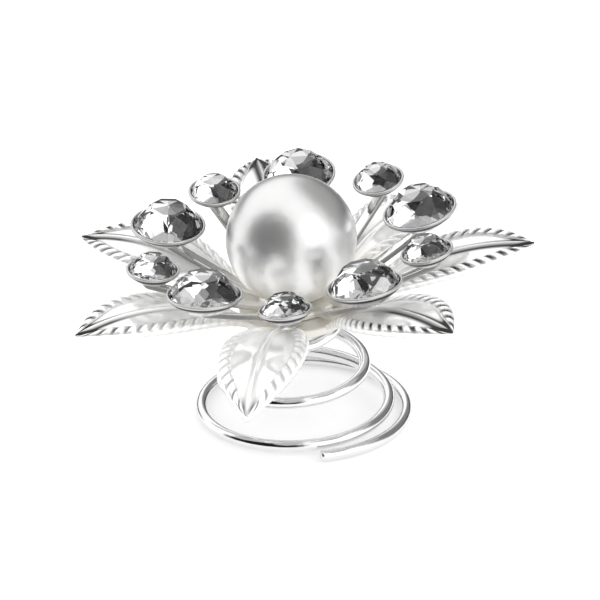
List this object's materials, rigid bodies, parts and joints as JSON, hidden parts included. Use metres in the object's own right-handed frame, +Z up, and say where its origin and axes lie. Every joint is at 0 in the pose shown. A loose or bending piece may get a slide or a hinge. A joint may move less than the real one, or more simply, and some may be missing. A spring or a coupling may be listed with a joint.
{
  "type": "spiral bun pin",
  "caption": "Flower hairpin on a tapering wire coil: pointed metal leaves, cut stones in cups on slim arms, and a pearl in the middle. It is turned into a bun.",
  "frame": {"origin": "on the surface that the coil stands on, on the coil's axis, where the pin enters the hair", "axes": "+Z up along the coil's axis, from its free end to the flower; +X to the right and +Y to the back as the picture shows the pin"},
  "size_m": [0.0349, 0.036, 0.0199],
  "materials": {
    "wire_plate": "bright silver plate on steel wire",
    "leaf_plate": "bright silver plate on a stamping with a roped border",
    "setting_plate": "bright silver plate, soldered cups and arms",
    "pearl_coat": "smooth pearl lacquer with a silvery sheen",
    "stone_glass": "clear cut glass with a silver foil back"
  },
  "bodies": {
    "root": {"spiral_pin": "wire_plate", "leaf_rosette": "leaf_plate", "stone_spray": "setting_plate", "pearl": "pearl_coat", "large_stone_1": "stone_glass", "large_stone_2": "stone_glass", "large_stone_3": "stone_glass", "large_stone_4": "stone_glass", "large_stone_5": "stone_glass", "small_stone_1": "stone_glass", "small_stone_2": "stone_glass", "small_stone_3": "stone_glass", "small_stone_4": "stone_glass", "small_stone_5": "stone_glass"}
  },
  "joints": []
}
